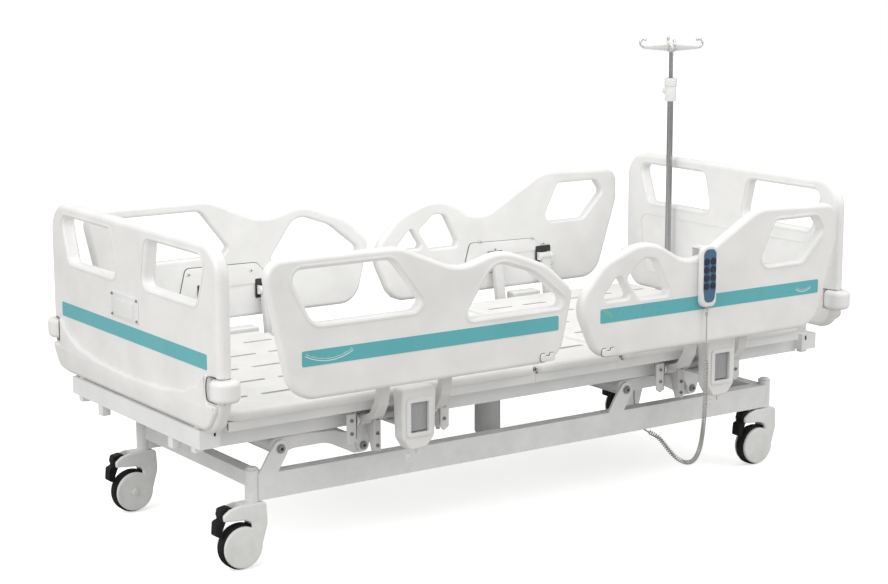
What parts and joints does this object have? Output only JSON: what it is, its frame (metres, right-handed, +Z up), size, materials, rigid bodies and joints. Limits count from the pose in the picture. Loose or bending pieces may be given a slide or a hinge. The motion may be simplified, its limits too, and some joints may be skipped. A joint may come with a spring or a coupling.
{
  "type": "electric hospital bed",
  "caption": "Electric hospital bed with split deck, drop-down side rails, lift-off end boards, castered base, drip pole and wired handset",
  "frame": {"origin": "on the floor, at the middle of the bed's length and width", "axes": "+X points to the head end, +Y to the far side as pictured, +Z up"},
  "size_m": [2.218, 1.119, 1.3052],
  "materials": {
    "frame_coat": "light grey powder coat",
    "housing_plastic": "light grey moulded",
    "tyre": "black tyre on a grey hub",
    "pedal_plastic": "black textured",
    "cover_plastic": "white moulded",
    "motor_case": "dark moulded case",
    "control_case": "dark moulded case",
    "deck_plastic": "white moulded",
    "rod_steel": "bright rod",
    "arm_coat": "light powder coat",
    "rail_plastic": "white moulded",
    "paddle_plastic": "mid grey moulded",
    "board_plastic": "white moulded",
    "roller_plastic": "white moulded",
    "pole_steel": "polished tube",
    "handset_case": "blue grey moulded",
    "cord_cover": "grey beige sleeve",
    "button_rubber": "dark navy"
  },
  "bodies": {
    "base": {"base_frame": "frame_coat"},
    "caster_near_foot": {"caster_housing_near_foot": "housing_plastic"},
    "wheel_near_foot": {"caster_wheel_near_foot": "tyre"},
    "pedal_near_foot": {"brake_pedal_near_foot": "pedal_plastic"},
    "caster_far_foot": {"caster_housing_far_foot": "housing_plastic"},
    "wheel_far_foot": {"caster_wheel_far_foot": "tyre"},
    "pedal_far_foot": {"brake_pedal_far_foot": "pedal_plastic"},
    "caster_near_head": {"caster_housing_near_head": "housing_plastic"},
    "wheel_near_head": {"caster_wheel_near_head": "tyre"},
    "pedal_near_head": {"brake_pedal_near_head": "pedal_plastic"},
    "caster_far_head": {"caster_housing_far_head": "housing_plastic"},
    "wheel_far_head": {"caster_wheel_far_head": "tyre"},
    "pedal_far_head": {"brake_pedal_far_head": "pedal_plastic"},
    "lift_foot": {"lift_arm_foot": "frame_coat"},
    "lift_head": {"lift_arm_head": "frame_coat"},
    "upper": {"upper_frame": "frame_coat", "latch_covers": "cover_plastic", "drive_motors": "motor_case", "control_box": "control_case", "seat_panel": "deck_plastic"},
    "back": {"back_panel": "deck_plastic", "back_frame": "frame_coat"},
    "thigh": {"thigh_panel": "deck_plastic", "thigh_frame": "frame_coat"},
    "calf": {"calf_panel": "deck_plastic", "calf_frame": "frame_coat"},
    "back_rod": {"back_rod": "rod_steel"},
    "thigh_rod": {"thigh_rod": "rod_steel"},
    "lift_rod_foot": {"lift_rod_foot": "rod_steel"},
    "lift_rod_head": {"lift_rod_head": "rod_steel"},
    "arms_near_foot": {"rail_arms_near_foot": "arm_coat"},
    "rail_near_foot": {"rail_panel_near_foot": "rail_plastic"},
    "paddle_near_foot": {"release_paddle_near_foot": "paddle_plastic"},
    "arms_far_foot": {"rail_arms_far_foot": "arm_coat"},
    "rail_far_foot": {"rail_panel_far_foot": "rail_plastic"},
    "paddle_far_foot": {"release_paddle_far_foot": "paddle_plastic"},
    "arms_near_head": {"rail_arms_near_head": "arm_coat"},
    "rail_near_head": {"rail_panel_near_head": "rail_plastic"},
    "paddle_near_head": {"release_paddle_near_head": "paddle_plastic"},
    "arms_far_head": {"rail_arms_far_head": "arm_coat"},
    "rail_far_head": {"rail_panel_far_head": "rail_plastic"},
    "paddle_far_head": {"release_paddle_far_head": "paddle_plastic"},
    "footboard": {"footboard": "board_plastic"},
    "roller_near_foot": {"corner_roller_near_foot": "roller_plastic"},
    "roller_far_foot": {"corner_roller_far_foot": "roller_plastic"},
    "headboard": {"headboard": "board_plastic"},
    "roller_near_head": {"corner_roller_near_head": "roller_plastic"},
    "roller_far_head": {"corner_roller_far_head": "roller_plastic"},
    "pole_tube": {"drip_pole_tube": "pole_steel"},
    "pole_rod": {"drip_pole_rod": "pole_steel"},
    "handset": {"handset": "handset_case", "handset_cord": "cord_cover"},
    "button_left_1": {"handset_button_left_1": "button_rubber"},
    "button_right_1": {"handset_button_right_1": "button_rubber"},
    "button_left_2": {"handset_button_left_2": "button_rubber"},
    "button_right_2": {"handset_button_right_2": "button_rubber"},
    "button_left_3": {"handset_button_left_3": "button_rubber"},
    "button_right_3": {"handset_button_right_3": "button_rubber"},
    "button_left_4": {"handset_button_left_4": "button_rubber"},
    "button_right_4": {"handset_button_right_4": "button_rubber"}
  },
  "joints": [
    {"name": "swivel_near_foot", "type": "hinge", "parent": "base", "child": "caster_near_foot", "pos_m": [-0.905, -0.325, 0.12], "axis": [0, 0, 1], "continuous": true},
    {"name": "roll_near_foot", "type": "hinge", "parent": "caster_near_foot", "child": "wheel_near_foot", "pos_m": [-0.945, -0.325, 0.0625], "axis": [0, 1, 0], "continuous": true},
    {"name": "brake_near_foot", "type": "hinge", "parent": "caster_near_foot", "child": "pedal_near_foot", "pos_m": [-0.977, -0.325, 0.158], "axis": [0, 1, 0], "range_deg": [0, 12]},
    {"name": "swivel_far_foot", "type": "hinge", "parent": "base", "child": "caster_far_foot", "pos_m": [-0.905, 0.325, 0.12], "axis": [0, 0, 1], "continuous": true},
    {"name": "roll_far_foot", "type": "hinge", "parent": "caster_far_foot", "child": "wheel_far_foot", "pos_m": [-0.945, 0.325, 0.0625], "axis": [0, 1, 0], "continuous": true},
    {"name": "brake_far_foot", "type": "hinge", "parent": "caster_far_foot", "child": "pedal_far_foot", "pos_m": [-0.977, 0.325, 0.158], "axis": [0, 1, 0], "range_deg": [0, 12]},
    {"name": "swivel_near_head", "type": "hinge", "parent": "base", "child": "caster_near_head", "pos_m": [0.935, -0.325, 0.12], "axis": [0, 0, 1], "continuous": true},
    {"name": "roll_near_head", "type": "hinge", "parent": "caster_near_head", "child": "wheel_near_head", "pos_m": [0.895, -0.325, 0.0625], "axis": [0, 1, 0], "continuous": true},
    {"name": "brake_near_head", "type": "hinge", "parent": "caster_near_head", "child": "pedal_near_head", "pos_m": [0.863, -0.325, 0.158], "axis": [0, 1, 0], "range_deg": [0, 12]},
    {"name": "swivel_far_head", "type": "hinge", "parent": "base", "child": "caster_far_head", "pos_m": [0.935, 0.325, 0.12], "axis": [0, 0, 1], "continuous": true},
    {"name": "roll_far_head", "type": "hinge", "parent": "caster_far_head", "child": "wheel_far_head", "pos_m": [0.895, 0.325, 0.0625], "axis": [0, 1, 0], "continuous": true},
    {"name": "brake_far_head", "type": "hinge", "parent": "caster_far_head", "child": "pedal_far_head", "pos_m": [0.863, 0.325, 0.158], "axis": [0, 1, 0], "range_deg": [0, 12]},
    {"name": "lift", "type": "hinge", "parent": "base", "child": "lift_foot", "pos_m": [-0.826, 0, 0.315], "axis": [0, -1, 0], "range_deg": [0, 68], "deforming": ["handset_cord"]},
    {"name": "lift_head_turn", "type": "hinge", "parent": "base", "child": "lift_head", "pos_m": [0.359, 0, 0.315], "axis": [0, -1, 0], "range_deg": [0, 68]},
    {"name": "upper_level", "type": "hinge", "parent": "lift_foot", "child": "upper", "pos_m": [-0.568, 0, 0.286], "axis": [0, -1, 0], "range_deg": [-68, 0]},
    {"name": "back_raise", "type": "hinge", "parent": "upper", "child": "back", "pos_m": [0.267, 0, 0.445], "axis": [0, -1, 0], "range_deg": [0, 70]},
    {"name": "thigh_raise", "type": "hinge", "parent": "upper", "child": "thigh", "pos_m": [-0.045, 0, 0.445], "axis": [0, 1, 0], "range_deg": [0, 35]},
    {"name": "calf_bend", "type": "hinge", "parent": "thigh", "child": "calf", "pos_m": [-0.43, 0, 0.445], "axis": [0, 1, 0], "range_deg": [-51.8, 0]},
    {"name": "back_rod_slide", "type": "slide", "parent": "upper", "child": "back_rod", "axis": [1, 0, 0], "range_m": [0, 0.11471]},
    {"name": "thigh_rod_slide", "type": "slide", "parent": "upper", "child": "thigh_rod", "axis": [-1, 0, 0], "range_m": [0, 0.05413]},
    {"name": "lift_rod_foot_slide", "type": "slide", "parent": "upper", "child": "lift_rod_foot", "axis": [-1, 0, 0], "range_m": [0, 0.08947]},
    {"name": "lift_rod_head_slide", "type": "slide", "parent": "upper", "child": "lift_rod_head", "axis": [-1, 0, 0], "range_m": [0, 0.08947]},
    {"name": "rail_drop_near_foot", "type": "hinge", "parent": "upper", "child": "arms_near_foot", "pos_m": [-0.49, -0.385, 0.372], "axis": [1, 0, 0], "range_deg": [0, 121.5]},
    {"name": "rail_level_near_foot", "type": "hinge", "parent": "arms_near_foot", "child": "rail_near_foot", "pos_m": [-0.49, -0.497, 0.572], "axis": [1, 0, 0], "range_deg": [-121.5, 0]},
    {"name": "release_near_foot", "type": "hinge", "parent": "upper", "child": "paddle_near_foot", "pos_m": [-0.49, -0.4955, 0.422], "axis": [1, 0, 0], "range_deg": [0, 10], "stiffness_Nm_per_rad": 1},
    {"name": "rail_drop_far_foot", "type": "hinge", "parent": "upper", "child": "arms_far_foot", "pos_m": [-0.49, 0.385, 0.372], "axis": [-1, 0, 0], "range_deg": [0, 121.5]},
    {"name": "rail_level_far_foot", "type": "hinge", "parent": "arms_far_foot", "child": "rail_far_foot", "pos_m": [-0.49, 0.497, 0.572], "axis": [-1, 0, 0], "range_deg": [-121.5, 0]},
    {"name": "release_far_foot", "type": "hinge", "parent": "upper", "child": "paddle_far_foot", "pos_m": [-0.49, 0.4955, 0.422], "axis": [-1, 0, 0], "range_deg": [0, 10], "stiffness_Nm_per_rad": 1},
    {"name": "rail_drop_near_head", "type": "hinge", "parent": "upper", "child": "arms_near_head", "pos_m": [0.59, -0.385, 0.372], "axis": [1, 0, 0], "range_deg": [0, 121.5], "deforming": ["handset_cord"]},
    {"name": "rail_level_near_head", "type": "hinge", "parent": "arms_near_head", "child": "rail_near_head", "pos_m": [0.59, -0.497, 0.572], "axis": [1, 0, 0], "range_deg": [-121.5, 0], "deforming": ["handset_cord"]},
    {"name": "release_near_head", "type": "hinge", "parent": "upper", "child": "paddle_near_head", "pos_m": [0.59, -0.4955, 0.422], "axis": [1, 0, 0], "range_deg": [0, 10], "stiffness_Nm_per_rad": 1},
    {"name": "rail_drop_far_head", "type": "hinge", "parent": "upper", "child": "arms_far_head", "pos_m": [0.59, 0.385, 0.372], "axis": [-1, 0, 0], "range_deg": [0, 121.5]},
    {"name": "rail_level_far_head", "type": "hinge", "parent": "arms_far_head", "child": "rail_far_head", "pos_m": [0.59, 0.497, 0.572], "axis": [-1, 0, 0], "range_deg": [-121.5, 0]},
    {"name": "release_far_head", "type": "hinge", "parent": "upper", "child": "paddle_far_head", "pos_m": [0.59, 0.4955, 0.422], "axis": [-1, 0, 0], "range_deg": [0, 10], "stiffness_Nm_per_rad": 1},
    {"name": "footboard_lift", "type": "slide", "parent": "upper", "child": "footboard", "axis": [0, 0, 1], "range_m": [0, 0.25]},
    {"name": "bumper_turn_near_foot", "type": "hinge", "parent": "footboard", "child": "roller_near_foot", "pos_m": [-1.07, -0.497, 0.535], "axis": [0, 0, 1], "continuous": true},
    {"name": "bumper_turn_far_foot", "type": "hinge", "parent": "footboard", "child": "roller_far_foot", "pos_m": [-1.07, 0.497, 0.535], "axis": [0, 0, 1], "continuous": true},
    {"name": "headboard_lift", "type": "slide", "parent": "upper", "child": "headboard", "axis": [0, 0, 1], "range_m": [0, 0.25]},
    {"name": "bumper_turn_near_head", "type": "hinge", "parent": "headboard", "child": "roller_near_head", "pos_m": [1.07, -0.497, 0.535], "axis": [0, 0, 1], "continuous": true},
    {"name": "bumper_turn_far_head", "type": "hinge", "parent": "headboard", "child": "roller_far_head", "pos_m": [1.07, 0.497, 0.535], "axis": [0, 0, 1], "continuous": true},
    {"name": "pole_turn", "type": "hinge", "parent": "upper", "child": "pole_tube", "pos_m": [1.018, 0.245, 0.4], "axis": [0, 0, 1], "continuous": true},
    {"name": "pole_height", "type": "slide", "parent": "pole_tube", "child": "pole_rod", "axis": [0, 0, 1], "range_m": [0, 0.4]},
    {"name": "handset_unhook", "type": "slide", "parent": "rail_near_head", "child": "handset", "axis": [0, 0, 1], "range_m": [0, 0.12], "deforming": ["handset_cord"]},
    {"name": "press_left_1", "type": "slide", "parent": "handset", "child": "button_left_1", "axis": [0, 1, 0], "range_m": [0, 0.0015], "stiffness_N_per_m": 400},
    {"name": "press_right_1", "type": "slide", "parent": "handset", "child": "button_right_1", "axis": [0, 1, 0], "range_m": [0, 0.0015], "stiffness_N_per_m": 400},
    {"name": "press_left_2", "type": "slide", "parent": "handset", "child": "button_left_2", "axis": [0, 1, 0], "range_m": [0, 0.0015], "stiffness_N_per_m": 400},
    {"name": "press_right_2", "type": "slide", "parent": "handset", "child": "button_right_2", "axis": [0, 1, 0], "range_m": [0, 0.0015], "stiffness_N_per_m": 400},
    {"name": "press_left_3", "type": "slide", "parent": "handset", "child": "button_left_3", "axis": [0, 1, 0], "range_m": [0, 0.0015], "stiffness_N_per_m": 400},
    {"name": "press_right_3", "type": "slide", "parent": "handset", "child": "button_right_3", "axis": [0, 1, 0], "range_m": [0, 0.0015], "stiffness_N_per_m": 400},
    {"name": "press_left_4", "type": "slide", "parent": "handset", "child": "button_left_4", "axis": [0, 1, 0], "range_m": [0, 0.0015], "stiffness_N_per_m": 400},
    {"name": "press_right_4", "type": "slide", "parent": "handset", "child": "button_right_4", "axis": [0, 1, 0], "range_m": [0, 0.0015], "stiffness_N_per_m": 400}
  ],
  "couplings": [
    {"joint": "lift_head_turn", "follows": "lift", "ratio": 1},
    {"joint": "upper_level", "follows": "lift", "ratio": -1},
    {"joint": "calf_bend", "follows": "thigh_raise", "ratio": -1.48},
    {"joint": "back_rod_slide", "follows": "back_raise", "m_per_rad": 0.093896},
    {"joint": "thigh_rod_slide", "follows": "thigh_raise", "m_per_rad": 0.088607},
    {"joint": "lift_rod_foot_slide", "follows": "lift", "m_per_rad": 0.075387},
    {"joint": "lift_rod_head_slide", "follows": "lift", "m_per_rad": 0.075387},
    {"joint": "rail_level_near_foot", "follows": "rail_drop_near_foot", "ratio": -1},
    {"joint": "rail_level_far_foot", "follows": "rail_drop_far_foot", "ratio": -1},
    {"joint": "rail_level_near_head", "follows": "rail_drop_near_head", "ratio": -1},
    {"joint": "rail_level_far_head", "follows": "rail_drop_far_head", "ratio": -1}
  ]
}
